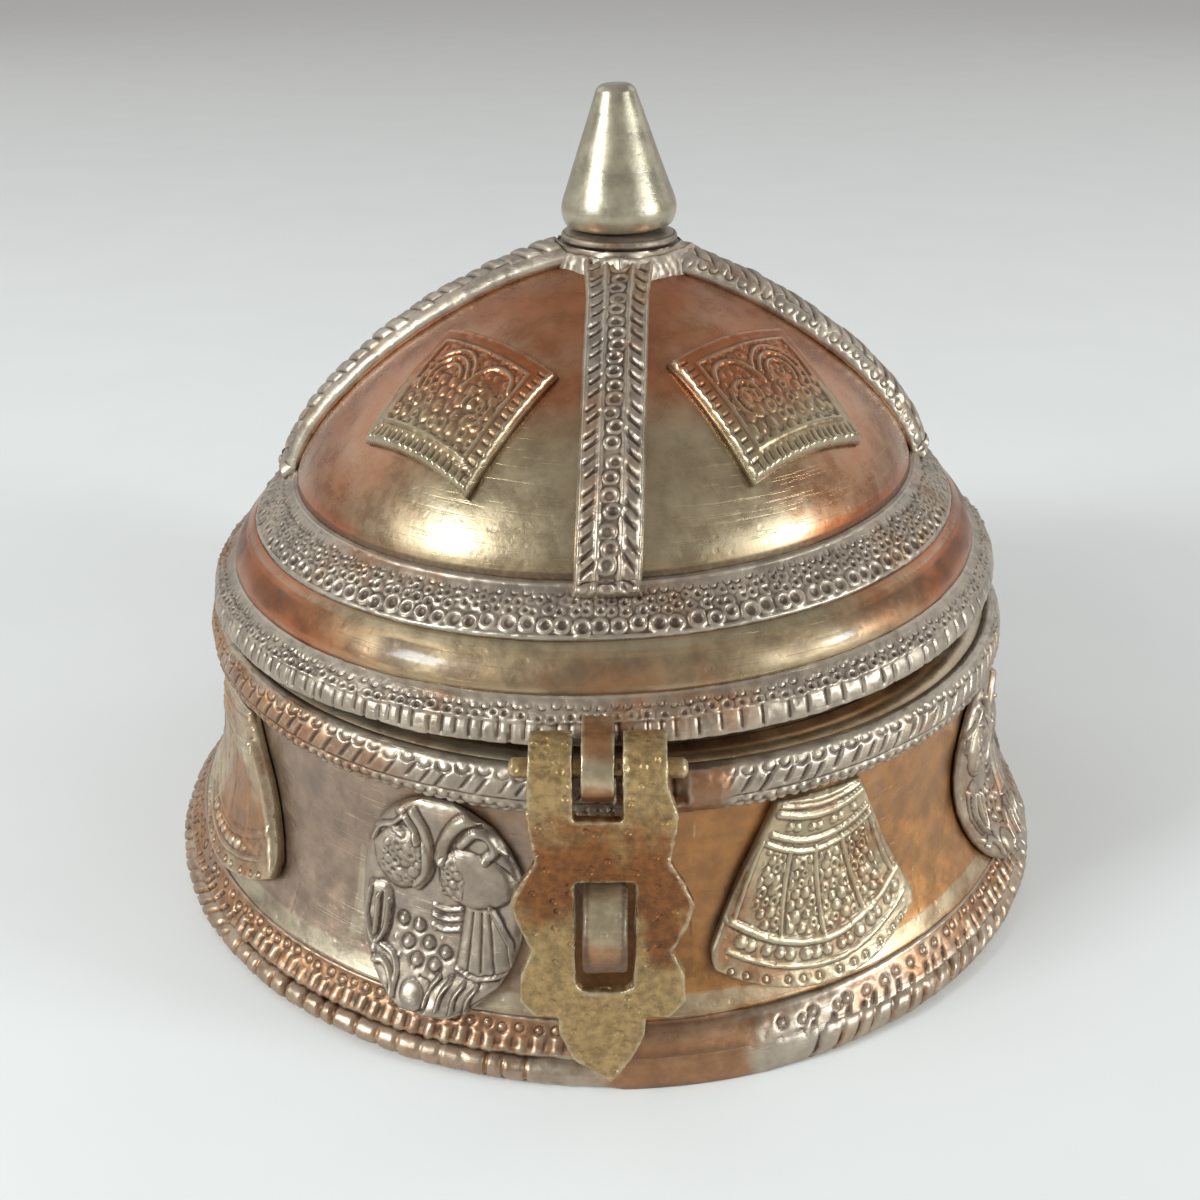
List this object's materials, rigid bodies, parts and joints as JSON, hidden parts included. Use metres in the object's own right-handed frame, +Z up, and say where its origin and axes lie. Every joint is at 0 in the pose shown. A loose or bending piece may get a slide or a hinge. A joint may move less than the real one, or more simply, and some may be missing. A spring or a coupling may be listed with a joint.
{
  "type": "betel box",
  "caption": "Round waisted brass betel box with a domed hinged lid, pointed finial, and a front hasp that drops over a staple.",
  "frame": {"origin": "middle of the bowl's flat underside", "axes": "+Z up, from the underside to the finial; -Y to the front, where the hasp hangs; +Y to the hinge; +X to the right as seen from the front"},
  "size_m": [0.1252, 0.1301, 0.1024],
  "materials": {
    "wall": "beaten brass with a dark red-brown patina, worn bright on the high spots",
    "dome": "semi-polished brass, olive-gold where rubbed and red-brown at the sides",
    "relief": "embossed and punched brass, purple-grey patina with dark recesses",
    "hardware": "hand-cut brass, golden brown, mottled and pitted",
    "finial": "turned brass, grey-olive, polished by handling",
    "collar": "dark plain brass with scratches running round it"
  },
  "bodies": {
    "body": {"bowl": "wall", "foot_wire": "relief", "rim_wire": "relief", "bowl_collar": "collar", "bird_panel_1": "relief", "bell_panel_2": "relief", "bird_panel_3": "relief", "bell_panel_4": "relief", "bird_panel_5": "relief", "bell_panel_6": "relief", "bird_panel_7": "relief", "bell_panel_8": "relief", "staple": "hardware", "hinge_leaf": "hardware", "hinge_rivet_left": "hardware", "hinge_rivet_right": "hardware", "hinge_pin": "hardware"},
    "lid": {"lid_shell": "dome", "lid_rib_front": "relief", "lid_rib_right": "relief", "lid_rib_back": "relief", "lid_rib_left": "relief", "lid_plate_1": "relief", "lid_plate_2": "relief", "lid_plate_3": "relief", "lid_plate_4": "relief", "crown_plate": "relief", "finial_collar": "relief", "finial": "finial", "hasp_lug": "hardware", "hinge_lug": "hardware", "hasp_pin": "hardware"},
    "hasp": {"hasp": "hardware"}
  },
  "joints": [
    {"name": "lid_hinge", "type": "hinge", "parent": "body", "child": "lid", "pos_m": [0, 0.0579, 0.041], "axis": [-1, 0, 0], "range_deg": [0, 105]},
    {"name": "hasp_hinge", "type": "hinge", "parent": "lid", "child": "hasp", "pos_m": [-0.0008, -0.0579, 0.041], "axis": [-1, 0, 0], "range_deg": [0, 165]}
  ]
}
